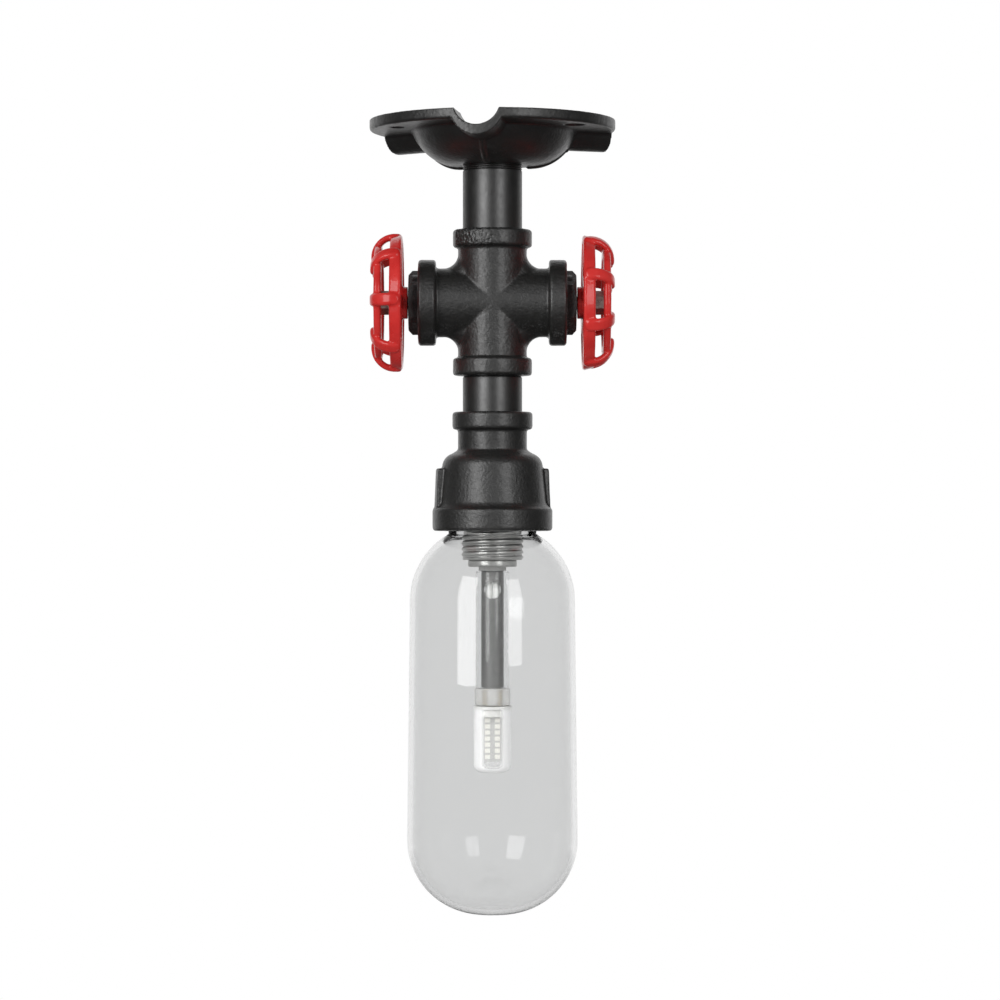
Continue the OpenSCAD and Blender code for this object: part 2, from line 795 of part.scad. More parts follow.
// Half outline of a capsule with a neck, drawn in from the outer surface of the glass
module capsule_outline(inset, top) {
    neck_low = shoulder_z + neck_rise(inset);
    end_low = glass_bottom + inset;
    outline_block(glass_neck_r - inset, shoulder_z - sink, top);
    intersection() {
        translate([shoulder_centre_r, shoulder_z])
            circle(r = glass_shoulder_r - inset, $fn = large_fn);
        outline_block(glass_top_r, shoulder_z, neck_low + sink);
    }
    polygon([[0, end_z],
             [glass_low_r - inset, end_z],
             [glass_top_r - inset, shoulder_z],
             [0, shoulder_z]]);
    intersection() {
        translate([end_centre_r, end_z]) circle(r = glass_end_r - inset, $fn = large_fn);
        outline_block(glass_low_r, end_low, end_z);
    }
    outline_block(end_centre_r, end_low, end_z + sink);
}

// Clear capsule glass with a straight neck
module glass_shade() {
    color("#d8e0e0", 0.35)
    difference() {
        rotate_extrude() capsule_outline(0, neck_top);
        rotate_extrude() capsule_outline(glass_wall, neck_top + over);
    }
}

// Threaded shell with a collar that screws into the throat of the bell
module lamp_carrier() {
    color("#9c9c98")
    difference() {
        union() {
            translate([0, 0, seat_z - sink])
                cylinder(r = collar_r, h = collar_top - seat_z + sink);
            rotate_extrude()
                polygon(concat(
                    [[0, shell_bottom]],
                    [for (i = [0:ridge_count - 1], p = ridge_shape)
                        [shell_r - p[1] * ridge_depth, shell_bottom + (i + p[0]) * ridge_pitch]],
                    [[shell_r - ridge_depth, seat_z], [0, seat_z]]));
        }
        translate([0, 0, shell_bottom + shell_floor_t])
            cylinder(r = shell_bore_r, h = collar_top - shell_bottom);
        translate([0, 0, shell_bottom - over])
            cylinder(r = lamp_stem_hole_r, h = shell_floor_t + 2 * over);
    }
}

// Ring under the floor of the shell
module carrier_ring() {
    color("#8a8a86")
    difference() {
        band(ring_disc_r, ring_bottom, shell_bottom, ring_edge);
        translate([0, 0, ring_bottom - over])
            cylinder(r = lamp_stem_hole_r, h = ring_disc_t + 2 * over);
    }
}

// Small nut that clamps the stem and the ring to the shell
module stem_nut() {
    color("#8a8a86")
    translate([0, 0, stem_nut_bottom]) hex_nut(stem_nut_r, lamp_stem_hole_r, stem_nut_t);
}

// Metal tube that carries the holder, with a cross hole through which the leads show
module lamp_stem() {
    color("#7c7c78")
    difference() {
        tube(lamp_stem_r, stem_bore_r, lamp_stem_bottom, lamp_stem_top);
        translate([0, 0, stem_nut_bottom - cross_hole_drop]) rotate([90, 0, 0])
            cylinder(r = cross_hole_r, h = 2 * (lamp_stem_r + over), center = true);
    }
}

// Clear sleeve around the stem, which stands on the holder
module stem_sleeve() {
    color("#dfe3e3", 0.4)
        tube(sleeve_r, sleeve_r - sleeve_wall, holder_top, stem_nut_bottom - face_gap);
}

// Two-pin holder with a spigot that is pressed up into the stem
module bulb_holder() {
    color("#d9d8d2")
    difference() {
        union() {
            band(holder_r, holder_bottom, holder_top, holder_edge);
            translate([0, 0, holder_bottom + holder_edge])
                cylinder(r = spigot_r, h = spigot_top - holder_bottom - holder_edge);
        }
        for (side = [-1, 1])
            translate([side * pin_pitch / 2, 0, holder_bottom - over])
                cylinder(r = contact_r + thread_gap, h = contact_top - holder_bottom + over);
    }
}

// Sprung tubes in the holder that grip the pins
module socket_contacts() {
    color("#c9b27a")
    for (side = [-1, 1])
        translate([side * pin_pitch / 2, 0, 0])
            tube(contact_r, pin_r + running_gap, holder_bottom + contact_inset, contact_top);
}

// Lead from the ceiling down to the holder, on the left for -1 and on the right for 1
module lead(side) {
    translate([side * lead_pitch / 2, 0, lead_bottom])
        cylinder(r = lead_r, h = lead_top - lead_bottom);
}

module live_lead() {
    color("#e8e6df") lead(-1);
}

module neutral_lead() {
    color("#e8e6df") lead(1);
}

// Base of the lamp: a rim that the envelope stands on and a part inside the envelope
module bulb_base() {
    color("#e6e4de")
    difference() {
        union() {
            translate([0, 0, envelope_top]) cylinder(r = bulb_r, h = base_rim_t);
            translate([0, 0, base_bottom])
                cylinder(r = bulb_r - bulb_wall - thread_gap, h = base_h - base_rim_t / 2);
        }
        for (side = [-1, 1])
            translate([side * pin_pitch / 2, 0, base_bottom - over])
                cylinder(r = pin_r + thread_gap, h = base_h + 2 * over);
    }
}

// Pins of the lamp
module bulb_pins() {
    color("#c4c4c0")
    for (side = [-1, 1])
        translate([side * pin_pitch / 2, 0, base_bottom])
            cylinder(r = pin_r, h = base_h + face_gap + pin_l);
}

// Solid shape of the envelope, drawn in from its outer surface
module envelope_shape(inset, top) {
    low = bulb_bottom + inset;
    r = bulb_r - inset;
    edge = bulb_round_r - inset;
    rotate_extrude()
        polygon(concat([[0, low]], arc([r - edge, low + edge], edge, -90, 0), [[r, top]],
                       [[0, top]]));
}

// Clear envelope of the lamp, open at the top where the base closes it
module bulb_envelope() {
    color("#eef0f0", 0.4)
    difference() {
        envelope_shape(0, envelope_top);
        envelope_shape(bulb_wall, envelope_top + over);
    }
}

// Board that stands in the lamp, from its base down
module led_board() {
    color("#cfcfc9")
    translate([-board_w / 2, -board_t / 2, base_bottom - board_l])
        cube([board_w, board_t, board_l]);
}

// Chips on both faces of the board
module led_chips() {
    row_step = board_l / (chip_rows + 0.5);
    color("#f2e6a0")
    for (face = [-1, 1], side = [-1, 1], row = [0:chip_rows - 1])
        translate([side * chip_side - chip_w / 2,
                   face * (board_t + chip_t) / 2 - chip_t / 2,
                   base_bottom - (row + 1) * row_step])
            cube([chip_w, chip_t, chip_h]);
}

ceiling_flange();
earth_screw();
earth_lead();
upper_pipe();
cross_fitting();
left_plug();
right_plug();
left_stem();
right_stem();
stem_lock_nuts();
wheel_washers();
wheel_nuts();
left_wheel();
right_wheel();
lower_pipe();
reducer_bell();
shade_gasket();
glass_shade();
lamp_carrier();
carrier_ring();
stem_nut();
lamp_stem();
stem_sleeve();
bulb_holder();
socket_contacts();
live_lead();
neutral_lead();
bulb_base();
bulb_pins();
bulb_envelope();
led_board();
led_chips();
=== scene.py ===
import json
import math

import bmesh
import bpy
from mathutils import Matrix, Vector, noise


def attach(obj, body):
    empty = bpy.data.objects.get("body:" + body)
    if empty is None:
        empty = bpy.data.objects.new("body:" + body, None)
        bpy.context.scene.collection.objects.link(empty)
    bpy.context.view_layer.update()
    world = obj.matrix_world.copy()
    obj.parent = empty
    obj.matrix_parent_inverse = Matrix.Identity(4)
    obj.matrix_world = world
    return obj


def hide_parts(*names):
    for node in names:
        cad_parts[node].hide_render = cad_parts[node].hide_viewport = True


MM = 0.001

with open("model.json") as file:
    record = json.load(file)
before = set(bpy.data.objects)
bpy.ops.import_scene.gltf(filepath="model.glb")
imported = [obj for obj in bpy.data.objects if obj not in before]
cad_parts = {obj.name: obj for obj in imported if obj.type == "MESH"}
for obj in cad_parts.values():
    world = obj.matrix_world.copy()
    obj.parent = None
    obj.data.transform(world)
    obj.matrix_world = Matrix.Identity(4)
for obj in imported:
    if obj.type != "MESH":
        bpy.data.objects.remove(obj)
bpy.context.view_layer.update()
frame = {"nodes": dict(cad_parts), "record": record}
nodes = frame["nodes"]
scene = bpy.context.scene


# ---------- shapes ----------
# Lengths of the pieces are in mm. The ceiling is at z = 0, and the axis of the whole stands at
# x = y = 0.

SHARP_ANGLE = 32.0
NODE_ANGLE = 30.0
ON_AXIS = 1e-6
SMOOTH_FACTOR = 0.5
SEED_STEPS = (3.7, 1.3, 2.1)
GRAIN_SCALE, GRAIN_SHARE = 3.2, 0.6


def sharpen(mesh, degrees=SHARP_ANGLE):
    """Smooth faces with sharp edges where two faces meet at more than the angle."""
    bm = bmesh.new()
    bm.from_mesh(mesh)
    limit = math.radians(degrees)
    for f in bm.faces:
        f.smooth = True
    for e in bm.edges:
        e.smooth = not (len(e.link_faces) == 2 and e.calc_face_angle(0.0) > limit)
    bm.to_mesh(mesh)
    bm.free()


def new_piece(name, mesh, body, slot, replaces):
    """Links a mesh as a piece that rides on a body and stands for CAD nodes."""
    obj = bpy.data.objects.new(name, mesh)
    scene.collection.objects.link(obj)
    mesh.materials.append(SLOT_MATERIAL[slot])
    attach(obj, body)
    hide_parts(*replaces)


def circle(r, z, segments):
    """Ring of points about the axis, or a single point on it."""
    if r < ON_AXIS:
        return [(0.0, 0.0, z)]
    angles = [2 * math.pi * k / segments for k in range(segments)]
    return [(r * math.cos(a), r * math.sin(a), z) for a in angles]


def ring_solid(name, rings, angle=SHARP_ANGLE):
    """Closed mesh from rings, each joined to the next and the last to the first."""
    segments = max(len(ring) for ring in rings)
    verts, rows, faces = [], [], []
    for ring in rings:
        start = len(verts)
        verts += [tuple(c * MM for c in point) for point in ring]
        rows.append([start + k % len(ring) for k in range(segments)])
    for low, high in zip(rows, rows[1:] + rows[:1]):
        for k in range(segments):
            n = (k + 1) % segments
            corners = dict.fromkeys((low[k], low[n], high[n], high[k]))
            if len(corners) > 2:
                faces.append(tuple(corners))
    mesh = bpy.data.meshes.new(name)
    mesh.from_pydata(verts, [], faces)
    mesh.validate()
    mesh.update()
    sharpen(mesh, angle)
    return mesh


def lathe(name, outline, segments=96, angle=SHARP_ANGLE):
    """Closed solid of revolution from an outline of (radius, height) points."""
    turn = sum(a[0] * b[1] - b[0] * a[1] for a, b in zip(outline, outline[1:] + outline[:1]))
    if turn < 0:  # the faces would point inwards, and glass needs them to point outwards
        outline = outline[::-1]
    return ring_solid(name, [circle(r, z, segments) for r, z in outline], angle)


def arc(cx, cz, r, start, end, steps):
    """Points on an arc, from one angle to another in degrees."""
    out = []
    for i in range(steps + 1):
        a = math.radians(start + (end - start) * i / steps)
        out.append((cx + r * math.cos(a), cz + r * math.sin(a)))
    return out


def remeshed(node, voxel, smooth_steps):
    """A CAD node's mesh, made again with the sharp edges softened as a casting's are."""
    solid = bmesh.new()
    solid.from_mesh(nodes[node].data)
    raw = bpy.data.meshes.new("raw")
    solid.to_mesh(raw)
    solid.free()
    obj = bpy.data.objects.new("raw", raw)
    scene.collection.objects.link(obj)
    remesh = obj.modifiers.new("remesh", "REMESH")
    remesh.mode = "VOXEL"
    remesh.voxel_size = voxel * MM
    soft = obj.modifiers.new("smooth", "SMOOTH")
    soft.factor = SMOOTH_FACTOR
    soft.iterations = smooth_steps
    graph = bpy.context.evaluated_depsgraph_get()
    graph.update()
    mesh = bpy.data.meshes.new_from_object(obj.evaluated_get(graph))
    bpy.data.objects.remove(obj)
    for p in mesh.polygons:
        p.use_smooth = True
    return mesh


def rough_skin(mesh, depth, scale, seed, marks=None):
    """Moves the surface in by a slow noise and a grain, and by marks where they are given."""
    offset = Vector([seed * step for step in SEED_STEPS])
    normals = [v.normal.copy() for v in mesh.vertices]
    for v, n in zip(mesh.vertices, normals):
        p = v.co / MM
        slow = noise.noise(p * scale + offset) * 0.5 + 0.5
        grain = noise.noise(p * scale * GRAIN_SCALE - offset) * 0.5 + 0.5
        move = depth * (slow + GRAIN_SHARE * grain)
        if marks:
            move += marks(p)
        v.co -= n * (move * MM)
    mesh.update()


# ---------- materials ----------
# Lengths and scales of textures are in metres and per metre.

NOISE_ROUGHNESS = 0.55
TONE_SPREAD = (0.35, 0.65)
RIPPLE_SCALE, RIPPLE_DEPTH = 28, 0.001
FINE_BUMP_DEPTH = 0.0001
CLEAR_SHARE, MILKY_SHARE = 0.95, 0.15
MILKY_START, MILKY_END = 0.07, 0.2


def put(sockets, values):
    """Constants on sockets by their names, with _ for a space. A colour is three numbers."""
    for key, value in values.items():
        if isinstance(value, tuple):
            value = (*value, 1.0)
        sockets[key.replace("_", " ")].default_value = value


def shader(name, **values):
    """A material with one Principled shader: the material, its tree and the shader."""
    m = bpy.data.materials.new(name)
    m.use_nodes = True
    p = m.node_tree.nodes["Principled BSDF"]
    put(p.inputs, values)
    return m, m.node_tree, p


def add(t, kind, **values):
    """A new node in a tree, with constants on its sockets."""
    node = t.nodes.new("ShaderNode" + kind)
    put(node.inputs, values)
    return node


def object_noise(t, scale, detail):
    coord = add(t, "TexCoord")
    n = add(t, "TexNoise", Scale=scale, Detail=detail, Roughness=NOISE_ROUGHNESS)
    t.links.new(coord.outputs["Object"], n.inputs["Vector"])
    return n.outputs["Fac"]


def ranged(t, source, low, high, start=0.3, end=0.7, kind="LINEAR"):
    """The source's values from start to end, spread from low to high."""
    r = add(t, "MapRange", From_Min=start, From_Max=end, To_Min=low, To_Max=high)
    r.interpolation_type = kind
    t.links.new(source, r.inputs["Value"])
    return r.outputs["Result"]


def two_tone(t, p, source, *tones):
    """The base colour between two tones by a source."""
    ramp = add(t, "ValToRGB")
    for i, tone in enumerate(tones):
        ramp.color_ramp.elements[i].position = TONE_SPREAD[i]
        ramp.color_ramp.elements[i].color = (*tone, 1.0)
    t.links.new(source, ramp.inputs["Fac"])
    t.links.new(ramp.outputs["Color"], p.inputs["Base Color"])


def bumped(t, p, distance, *bumps):
    """Bumps of (scale, detail, strength), one on top of another."""
    last = None
    for scale, detail, strength in bumps:
        b = add(t, "Bump", Strength=strength, Distance=distance)
        t.links.new(object_noise(t, scale, detail), b.inputs["Height"])
        if last:
            t.links.new(last, b.inputs["Normal"])
        last = b.outputs["Normal"]
    t.links.new(last, p.inputs["Normal"])


def mixed(t, share, first, second):
    """One shader, and as much of a second as the share says."""
    mix = add(t, "MixShader")
    t.links.new(share, mix.inputs["Fac"])
    t.links.new(first, mix.inputs[1])
    t.links.new(second, mix.inputs[2])
    return mix.outputs["Shader"]


def grained(name, tones, tone_noise, rough, rough_noise, bump_depth, *bumps, **values):
    """Two tones, a roughness between two values, and bumps. A noise is (scale, detail)."""
    m, t, p = shader(name, **values)
    two_tone(t, p, object_noise(t, *tone_noise), *tones)
    t.links.new(ranged(t, object_noise(t, *rough_noise), *rough), p.inputs["Roughness"])
    bumped(t, p, bump_depth, *bumps)
    return m


def metal(name, dark, light, low, high, scale=600):
    return grained(name, (dark, light), (scale, 3), (low, high), (scale * 1.7, 3),
                   FINE_BUMP_DEPTH, (scale, 2, 0.03), Metallic=1.0)


def plain(name, dark, light, low, high, scale=500, **values):
    return grained(name, (dark, light), (scale, 3), (low, high), (scale * 1.3, 3),
                   FINE_BUMP_DEPTH, (scale * 3, 2, 0.08), **values)


def clear(name, tint, rough, ior, ripple):
    """Clear glass that lets light pass straight on to what is inside it."""
    m, t, p = shader(name, IOR=ior, Transmission_Weight=1.0, Base_Color=tint, Roughness=rough)
    bumped(t, p, RIPPLE_DEPTH, (RIPPLE_SCALE, 1, ripple))
    path = add(t, "LightPath")
    straight = add(t, "BsdfTransparent")
    glass = mixed(t, path.outputs["Is Shadow Ray"], p.outputs["BSDF"], straight.outputs["BSDF"])
    t.links.new(glass, t.nodes["Material Output"].inputs["Surface"])
    return m


def milky_sides(m):
    """Makes glass milky where it curves away."""
    t = m.node_tree
    facing = add(t, "LayerWeight", Blend=0.5).outputs["Facing"]
    t.links.new(ranged(t, facing, CLEAR_SHARE, MILKY_SHARE, MILKY_START, MILKY_END),
                t.nodes["Principled BSDF"].inputs["Transmission Weight"])


SLOT_MATERIAL = {
    "black_cast_iron": grained(
        "black_cast", ((0.003, 0.003, 0.0025), (0.0065, 0.0065, 0.0052)), (320, 4),
        (0.42, 0.54), (700, 4), 0.0003, (950, 3, 0.7), (420, 2, 0.3),
        IOR=1.65, Specular_IOR_Level=0.85, Coat_Weight=0.3, Coat_Roughness=0.22),
    "black_pipe": grained(
        "black_pipe", ((0.003, 0.003, 0.0027), (0.006, 0.006, 0.0052)), (260, 3),
        (0.37, 0.45), (500, 3), 0.0002, (1200, 3, 0.14),
        IOR=1.65, Specular_IOR_Level=1.0),
    "red_enamel": grained(
        "red_enamel", ((0.57, 0.02, 0.018), (0.67, 0.032, 0.028)), (140, 3),
        (0.26, 0.36), (300, 3), 0.0002, (420, 2, 0.18),
        IOR=1.5, Specular_IOR_Level=0.3, Coat_Weight=0.45, Coat_Roughness=0.04),
    "plain_steel": metal("plain_steel", (0.36, 0.33, 0.3), (0.5, 0.47, 0.43), 0.25, 0.4),
    "nickel_shell": metal("nickel_shell", (0.35, 0.35, 0.34), (0.4, 0.4, 0.39), 0.27, 0.33, 180),
    "grey_steel": metal("grey_steel", (0.15, 0.15, 0.147), (0.19, 0.19, 0.185), 0.5, 0.6),
    "earth_brass": metal("earth_brass", (0.5, 0.37, 0.15), (0.66, 0.5, 0.24), 0.22, 0.35),
    "lead_cover": plain("lead_cover", (0.84, 0.84, 0.82), (0.92, 0.92, 0.9), 0.3, 0.4),
    "earth_cover": plain("earth_cover", (0.16, 0.34, 0.05), (0.5, 0.5, 0.06), 0.3, 0.4, 160),
    "seal_rubber": plain("seal_rubber", (0.02, 0.02, 0.02), (0.035, 0.035, 0.035), 0.6, 0.75),
    "clear_glass": clear("clear_glass", (0.8, 0.803, 0.803), 0.0, 1.45, 0.012),
    "lamp_glass": clear("lamp_glass", (0.99, 0.99, 0.99), 0.03, 1.42, 0.0),
    "clear_sleeve": clear("clear_sleeve", (0.96, 0.965, 0.965), 0.02, 1.42, 0.0),
    "white_holder": plain("white_holder", (0.82, 0.82, 0.8), (0.9, 0.9, 0.88), 0.12, 0.2, 260,
                          Transmission_Weight=0.7),
    "white_base": plain("white_base", (0.72, 0.72, 0.7), (0.82, 0.82, 0.8), 0.4, 0.5),
    "pin_metal": metal("pin_metal", (0.55, 0.55, 0.53), (0.66, 0.66, 0.64), 0.15, 0.25),
    "pale_board": plain("pale_board", (0.46, 0.46, 0.45), (0.56, 0.56, 0.55), 0.4, 0.5),
    "pale_yellow_chip": plain("pale_yellow_chip", (0.9, 0.89, 0.82), (0.97, 0.96, 0.9),
                              0.15, 0.22),
}
milky_sides(SLOT_MATERIAL["lamp_glass"])

for row in frame["record"]["subparts"]:
    node = nodes[row["node"]]
    node.data.materials.clear()
    node.data.materials.append(SLOT_MATERIAL[row["material_slot"]])


# ---------- castings ----------

PATCH_LOW, PATCH_HIGH = -49.0, -41.5
PATCH_LEFT, PATCH_RIGHT = -14.0, 5.0
PATCH_FADE_X, PATCH_FADE = 4.5, 6.0
CELL_SCALE, CELL_DEPTH = 1.1, 0.08
PIT_SCALE, PIT_DEPTH, PIT_OFFSET = 1.6, 0.9, Vector((5.0, 2.0, 9.0))


def band_pits(p):
    """Rough, pitted patch on the front left of the upper band of the cross."""
    if not (PATCH_LOW < p.z < PATCH_HIGH and p.y < 0 and PATCH_LEFT < p.x < PATCH_RIGHT):
        return 0.0
    cell = noise.cell(p * CELL_SCALE)
    pit = max(0.0, noise.noise(p * PIT_SCALE + PIT_OFFSET))
    fade = min(1.0, max(0.0, (PATCH_FADE_X - p.x) / PATCH_FADE))
    return fade * pit * PIT_DEPTH + fade * CELL_DEPTH * cell


# Each lobe of the flange is a disc with a round edge, and its centre lies off the axis.
LOBE_OFFSET, LOBE_FLAT_R, LOBE_ROUND_R = 10.0, 21.4, 20.2
FLANGE_DEPTH, ARM_TURN = 17.3, -97.4
RIDGE_START, RIDGE_END = 14.2, 32.5
RIDGE_HALF, RIDGE_RISE, RIDGE_REACH = 1.3, 0.75, 0.9


def lobe_ridges(p):
    """Raised line where two lobes of the flange meet under each channel arm."""
    out = math.hypot(p.x, p.y)
    reach = math.sqrt(out * out + LOBE_OFFSET * out + LOBE_OFFSET ** 2) - LOBE_FLAT_R
    if not (RIDGE_START < out < RIDGE_END and 0.0 < reach < LOBE_ROUND_R):
        return 0.0
    low = LOBE_ROUND_R - FLANGE_DEPTH - math.sqrt(LOBE_ROUND_R ** 2 - reach * reach)
    if abs(p.z - low) > RIDGE_REACH:
        return 0.0
    for k in range(3):
        a = math.radians(ARM_TURN + 120 * k)
        along = p.x * math.cos(a) + p.y * math.sin(a)
        across = (p.y * math.cos(a) - p.x * math.sin(a)) / RIDGE_HALF
        if along > 0 and abs(across) < 1:
            return -RIDGE_RISE * (1 - across * across)
    return 0.0


CASTINGS = [
    # piece, node, body, slot, voxel, smoothing steps, depth and scale of the skin, marks
    ("flange_casting", "ceiling_flange", "fixture", "black_cast_iron",
     0.42, 2, 0.08, 0.25, lobe_ridges),
    ("cross_casting", "cross_fitting", "fixture", "black_cast_iron",
     0.42, 5, 0.13, 0.35, band_pits),
    ("bell_casting", "reducer_bell", "fixture", "black_cast_iron",
     0.42, 6, 0.05, 0.3, None),
    ("left_wheel_casting", "left_wheel", "left_wheel", "red_enamel",
     0.34, 7, 0.06, 0.3, None),
    ("right_wheel_casting", "right_wheel", "right_wheel", "red_enamel",
     0.34, 7, 0.06, 0.3, None),
]
for seed, (name, node, body, slot, voxel, steps, depth, scale, marks) in enumerate(CASTINGS, 1):
    mesh = remeshed(node, voxel, steps)
    rough_skin(mesh, depth, scale, seed, marks)
    mesh.name = name
    new_piece(name, mesh, body, slot, (node,))


# ---------- pipes ----------

PIPE_R, THREAD_R, BORE_R = 11.4, 11.0, 8.0
GROOVE_DEPTH, GROOVE_PITCH, GROOVE_MID = 0.42, 0.75, 0.35
LIP, GROOVE_END, RUN_OUT = 0.05, 0.65, 0.2


def pipe(name, node, low, high, low_end, high_end, grooves):
    """Pipe between two heights, with grooves of a thread that runs out below the upper fitting."""
    line = [(BORE_R, low_end), (THREAD_R, low_end), (THREAD_R, low), (PIPE_R, low)]
    z = high
    tail = []
    for _ in range(grooves):
        tail += [(PIPE_R - LIP, z - LIP), (PIPE_R - GROOVE_DEPTH, z - GROOVE_MID),
                 (PIPE_R - LIP, z - GROOVE_END)]
        z -= GROOVE_PITCH
    line += [(PIPE_R, z - RUN_OUT)] + tail[::-1]
    line += [(THREAD_R, high), (THREAD_R, high_end), (BORE_R, high_end)]
    new_piece(name, lathe(name, line, 128), "fixture", "black_pipe", (node,))


pipe("upper_pipe_turned", "upper_pipe", -41.9, -17.3, -53.2, -7.5, 3)
pipe("lower_pipe_turned", "lower_pipe", -111.9, -98.1, -123.2, -86.8, 1)


# ---------- glass ----------

WALL = 2.0
NECK_R, NECK_TOP = 16.9, -146.0
NECK_EDGE, NECK_EDGE_IN, NECK_DROP_IN = 0.5, 0.4, 0.6
SHOULDER_R, SHOULDER_Z, TOP_R = 29.5, -184.405, 31.75
END_R, END_Z, LOW_R = 28.4, -276.4, 32.8
GLASS_STEPS = 40


def glass_side(inset):
    """Outline of the capsule from its neck down to the middle of its end."""
    cx = TOP_R - SHOULDER_R
    r = SHOULDER_R - inset
    start = math.degrees(math.acos((NECK_R - inset - cx) / r))
    line = arc(cx, SHOULDER_Z, r, start, 0.0, GLASS_STEPS)
    return line + arc(LOW_R - END_R, END_Z, END_R - inset, 0.0, -90.0, GLASS_STEPS)


outer = [(NECK_R - NECK_EDGE, NECK_TOP), (NECK_R, NECK_TOP - NECK_EDGE)] + glass_side(0.0)
inner = [(NECK_R - WALL + NECK_EDGE_IN, NECK_TOP), (NECK_R - WALL, NECK_TOP - NECK_DROP_IN)]
inner += glass_side(WALL)
glass_line = outer + [(0.0, outer[-1][1]), (0.0, inner[-1][1])] + inner[::-1]
new_piece("glass_blown", lathe("glass_blown", glass_line, 192, 60.0), "shade", "clear_glass",
          ("glass_shade",))


# ---------- lamp carrier and lamp ----------

SHELL_LOW, SHELL_HIGH = -168.8, -131.0
CORE_R, CREST_R, THREAD_PITCH = 11.3, 11.86, 2.1
THREAD_ROWS, THREAD_END, CREST_WIDTH = 10, 0.8, 1.35
SPIGOT_R, SPIGOT_TOP = 8.9, -123.7
SHELL_BORE_R, SHELL_FLOOR, STEM_HOLE_R = 8.0, 4.8, 4.4


def threaded_shell(name, segments=96):
    """Shell with a helical thread outside, a spigot on top, and a bore with a floor and a hole."""
    steps = int(round((SHELL_HIGH - SHELL_LOW) / THREAD_PITCH * THREAD_ROWS))
    rings = []
    for i in range(steps + 1):
        z = SHELL_LOW + (SHELL_HIGH - SHELL_LOW) * i / steps
        edge = min(1.0, (z - SHELL_LOW) / THREAD_END, (SHELL_HIGH - z) / THREAD_END)
        ring = []
        for k in range(segments):
            t = ((z - SHELL_LOW) / THREAD_PITCH - k / segments) % 1.0
            shape = 0.5 - 0.5 * math.cos(2 * math.pi * t)
            r = CORE_R + (CREST_R - CORE_R) * edge * min(1.0, shape * CREST_WIDTH)
            a = 2 * math.pi * k / segments
            ring.append((r * math.cos(a), r * math.sin(a), z))
        rings.append(ring)
    for r, z in [(SPIGOT_R, SHELL_HIGH), (SPIGOT_R, SPIGOT_TOP), (SHELL_BORE_R, SPIGOT_TOP),
                 (SHELL_BORE_R, SHELL_LOW + SHELL_FLOOR), (STEM_HOLE_R, SHELL_LOW + SHELL_FLOOR),
                 (STEM_HOLE_R, SHELL_LOW)]:
        rings.append(circle(r, z, segments))
    return ring_solid(name, rings, 85.0)


new_piece("carrier_threaded", threaded_shell("carrier_threaded"), "fixture", "nickel_shell",
          ("lamp_carrier",))

RING_LOW, RING_FLAT_R, RING_ROUND = -171.5, 8.8, 0.6
ring = [(STEM_HOLE_R, SHELL_LOW), (STEM_HOLE_R, RING_LOW)]
ring += arc(RING_FLAT_R, -170.9, RING_ROUND, -90, 0, 5)
ring += arc(RING_FLAT_R, -169.4, RING_ROUND, 0, 90, 5)
new_piece("carrier_ring_turned", lathe("carrier_ring_turned", ring), "fixture", "nickel_shell",
          ("carrier_ring",))

LAMP_TOP, LAMP_R, LAMP_BORE_R = -226.1, 7.3, 6.5
LAMP_LOW, LAMP_LOW_IN = -250.5, -249.7
LAMP_ROUND_R, LAMP_ROUND_Z, LAMP_ROUND, LAMP_ROUND_IN = 4.1, -247.3, 3.2, 2.4
envelope = [(0.0, LAMP_LOW)] + arc(LAMP_ROUND_R, LAMP_ROUND_Z, LAMP_ROUND, -90, 0, 10)
envelope += [(LAMP_R, LAMP_TOP), (LAMP_BORE_R, LAMP_TOP)]
envelope += arc(LAMP_ROUND_R, LAMP_ROUND_Z, LAMP_ROUND_IN, 0, -90, 10) + [(0.0, LAMP_LOW_IN)]
new_piece("lamp_envelope", lathe("lamp_envelope", envelope, 64, 50.0), "bulb", "lamp_glass",
          ("bulb_envelope",))

SLEEVE_LOW, SLEEVE_EDGE, SLEEVE_TOP = -218.0, -173.6, -173.3
SLEEVE_R, SLEEVE_EDGE_R, SLEEVE_BORE_EDGE_R, SLEEVE_BORE_R = 6.45, 6.2, 5.7, 5.45
sleeve = [(SLEEVE_BORE_R, SLEEVE_LOW), (SLEEVE_R, SLEEVE_LOW), (SLEEVE_R, SLEEVE_EDGE),
          (SLEEVE_EDGE_R, SLEEVE_TOP), (SLEEVE_BORE_EDGE_R, SLEEVE_TOP),
          (SLEEVE_BORE_R, SLEEVE_EDGE)]
new_piece("sleeve_drawn", lathe("sleeve_drawn", sleeve), "fixture", "clear_sleeve",
          ("stem_sleeve",))


# ---------- plain CAD nodes ----------

for node in nodes.values():
    sharpen(node.data, NODE_ANGLE)


# ---------- light, backdrop and camera ----------
# Lengths are in metres here.

UPRIGHT = math.radians(90)
SOFTBOX_DISTANCE = 1.5
SOFTBOXES = [
    # name, degrees from the camera's side of the object, lower and upper edge, width, radiance
    ("softbox_left", -36.0, -0.278, 0.90, 0.70, 4.2),
    ("softbox_right", 31.5, -0.257, 0.76, 0.52, 3.2),
]
FLOOR_HALF, FLOOR_Z, FLOOR_SHARE = 6.0, -1.3, 0.93
FLOOR_RISE = (1.8, 6.0)     # y of the floor over which its reflection goes from dark to white
WORLD_RISE = (0.35, 0.95)   # y of a direction over which the backdrop's reflection does
DARK, WHITE, PLAIN_LIGHT = 0.05, 1.0, 0.5
CAMERA_PLACE, CAMERA_LENS, SENSOR_WIDTH = (0.0029, -1.3, -0.1458), 121.7, 36.0

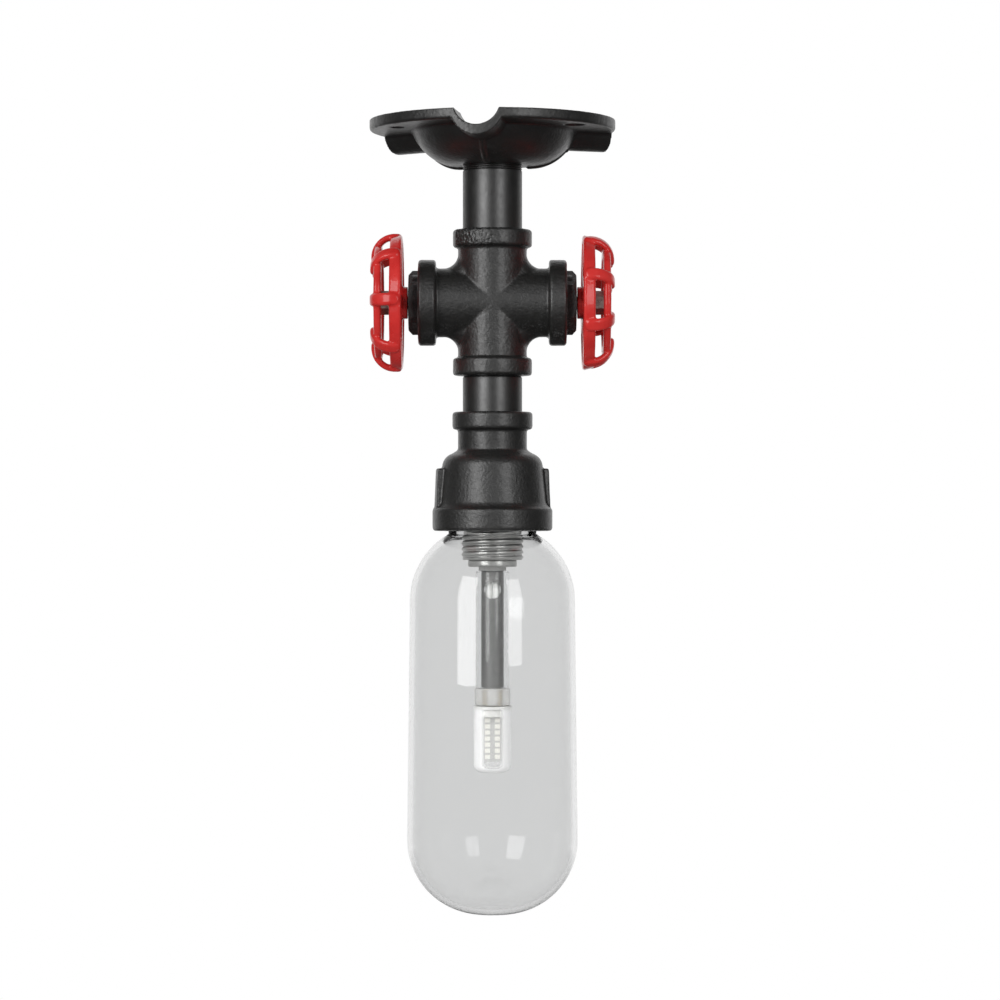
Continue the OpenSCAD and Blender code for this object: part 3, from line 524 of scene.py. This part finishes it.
for name, azimuth, low, high, width, radiance in SOFTBOXES:
    light = bpy.data.lights.new(name, "AREA")
    light.shape = "RECTANGLE"
    light.size, light.size_y = width, high - low
    light.energy = radiance * math.pi * width * (high - low)
    softbox = bpy.data.objects.new(name, light)
    scene.collection.objects.link(softbox)
    a = math.radians(azimuth)
    softbox.location = (SOFTBOX_DISTANCE * math.sin(a), -SOFTBOX_DISTANCE * math.cos(a),
                        (low + high) / 2)
    softbox.rotation_euler = (UPRIGHT, 0.0, a)


def calculated(t, operation, source, other):
    """A source worked together with another, or with a number."""
    node = add(t, "Math")
    node.operation = operation
    t.links.new(source, node.inputs[0])
    if isinstance(other, float):
        node.inputs[1].default_value = other
    else:
        t.links.new(other, node.inputs[1])
    return node.outputs[0]


def seen(t):
    """The tree's ray types, and 1 for rays that come from the camera straight or through glass."""
    path = add(t, "LightPath").outputs
    return path, calculated(t, "MAXIMUM", path["Is Camera Ray"], path["Is Transmission Ray"])


def rising(t, space, rise):
    """From dark to white along y."""
    place = add(t, "TexCoord")
    axes = add(t, "SeparateXYZ")
    t.links.new(place.outputs[space], axes.inputs["Vector"])
    return ranged(t, axes.outputs["Y"], DARK, WHITE, *rise, "SMOOTHSTEP")


corners = [(-1, -1), (1, -1), (1, 1), (-1, 1)]
floor_mesh = bpy.data.meshes.new("floor")
floor_mesh.from_pydata([(x * FLOOR_HALF, y * FLOOR_HALF, FLOOR_Z) for x, y in corners], [],
                       [(0, 1, 2, 3)])
floor = bpy.data.objects.new("floor", floor_mesh)
scene.collection.objects.link(floor)
floor_mat, tree, paint = shader("floor_paint", Roughness=0.8)
floor_mat.cycles.emission_sampling = "NONE"
floor_mesh.materials.append(floor_mat)
two_tone(tree, paint, object_noise(tree, 6, 2), (0.8, 0.8, 0.8), (0.84, 0.84, 0.84))
path, in_view = seen(tree)
reflected = add(tree, "Emission")
tree.links.new(rising(tree, "Object", FLOOR_RISE), reflected.inputs["Strength"])
bright = add(tree, "Emission", Strength=WHITE)
surface = mixed(tree, path["Is Glossy Ray"], paint.outputs["BSDF"], reflected.outputs["Emission"])
surface = mixed(tree, calculated(tree, "MULTIPLY", in_view, FLOOR_SHARE), surface,
                bright.outputs["Emission"])
tree.links.new(surface, tree.nodes["Material Output"].inputs["Surface"])

world = bpy.data.worlds.new("studio")
scene.world = world
world.use_nodes = True
tree = world.node_tree
background = tree.nodes["Background"]
put(background.inputs, {"Color": (1.0, 1.0, 1.0)})
path, in_view = seen(tree)
glossy = add(tree, "Mix", A=PLAIN_LIGHT)
tree.links.new(path["Is Glossy Ray"], glossy.inputs["Factor"])
tree.links.new(rising(tree, "Generated", WORLD_RISE), glossy.inputs["B"])
level = add(tree, "Mix", B=WHITE)
tree.links.new(in_view, level.inputs["Factor"])
tree.links.new(glossy.outputs["Result"], level.inputs["A"])
tree.links.new(level.outputs["Result"], background.inputs["Strength"])

camera_data = bpy.data.cameras.new("camera")
camera_data.sensor_width = SENSOR_WIDTH
camera_data.lens = CAMERA_LENS
camera = bpy.data.objects.new("camera", camera_data)
scene.collection.objects.link(camera)
camera.location = CAMERA_PLACE
camera.rotation_euler = (UPRIGHT, 0.0, 0.0)
scene.camera = camera

scene.view_settings.view_transform = "Standard"
